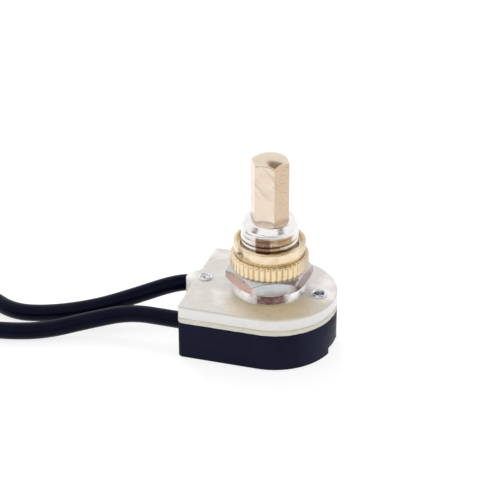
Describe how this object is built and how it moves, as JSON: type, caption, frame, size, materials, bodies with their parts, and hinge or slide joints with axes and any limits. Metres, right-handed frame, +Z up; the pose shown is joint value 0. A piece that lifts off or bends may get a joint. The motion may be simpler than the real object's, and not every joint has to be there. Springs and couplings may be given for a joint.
{
  "type": "pushbutton switch",
  "caption": "Small canopy pushbutton switch: push-on push-off plunger in a threaded panel bushing, with nuts, a black base and two wire leads.",
  "frame": {"origin": "where the bushing's axis meets the flat underside of the base", "axes": "+Z up along the plunger, +X along the body towards its rounded end and away from the leads, -Y to the front"},
  "size_m": [0.1073, 0.036, 0.0342],
  "materials": {
    "black_phenolic": "moulded, slightly grainy",
    "fibre_card": "pressed fibre with a rough cut edge",
    "natural_nylon": "translucent milky moulding",
    "nickel_plate": "bright plated",
    "zinc_plate": "zinc plated with a faint yellow and violet tint",
    "polished_brass": "turned and lacquered",
    "spring_steel": "drawn wire",
    "white_acetal": "moulded",
    "contact_bronze": "stamped",
    "tinned_copper": "twisted tinned strands",
    "lead_insulation": "smooth black vinyl"
  },
  "bodies": {
    "housing": {"base_housing": "black_phenolic", "insulator_card": "fibre_card", "cover_plate": "natural_nylon", "threaded_bushing": "nickel_plate", "hex_nut": "zinc_plate", "knurled_nut": "polished_brass", "left_rivet": "nickel_plate", "right_rivet": "nickel_plate", "return_spring": "spring_steel", "guide_sleeve": "white_acetal", "front_terminal": "contact_bronze", "rear_terminal": "contact_bronze", "front_conductor": "tinned_copper", "rear_conductor": "tinned_copper", "front_lead": "lead_insulation", "rear_lead": "lead_insulation", "front_lead_tip": "tinned_copper", "rear_lead_tip": "tinned_copper"},
    "plunger": {"plunger": "polished_brass", "drive_cam": "white_acetal"},
    "rotor": {"index_rotor": "white_acetal", "bridge_contact": "contact_bronze"}
  },
  "joints": [
    {"name": "plunger_push", "type": "slide", "parent": "housing", "child": "plunger", "axis": [0, 0, 1], "range_m": [-0.0028, 0], "stiffness_N_per_m": 450, "springref_m": 0.004, "deforming": ["return_spring"]},
    {"name": "rotor_turn", "type": "hinge", "parent": "housing", "child": "rotor", "pos_m": [0, 0, 0], "axis": [0, 0, 1], "continuous": true}
  ],
  "couplings": [
    {"joint": "rotor_turn", "follows": "plunger_push", "rad_per_m": 498.66}
  ]
}
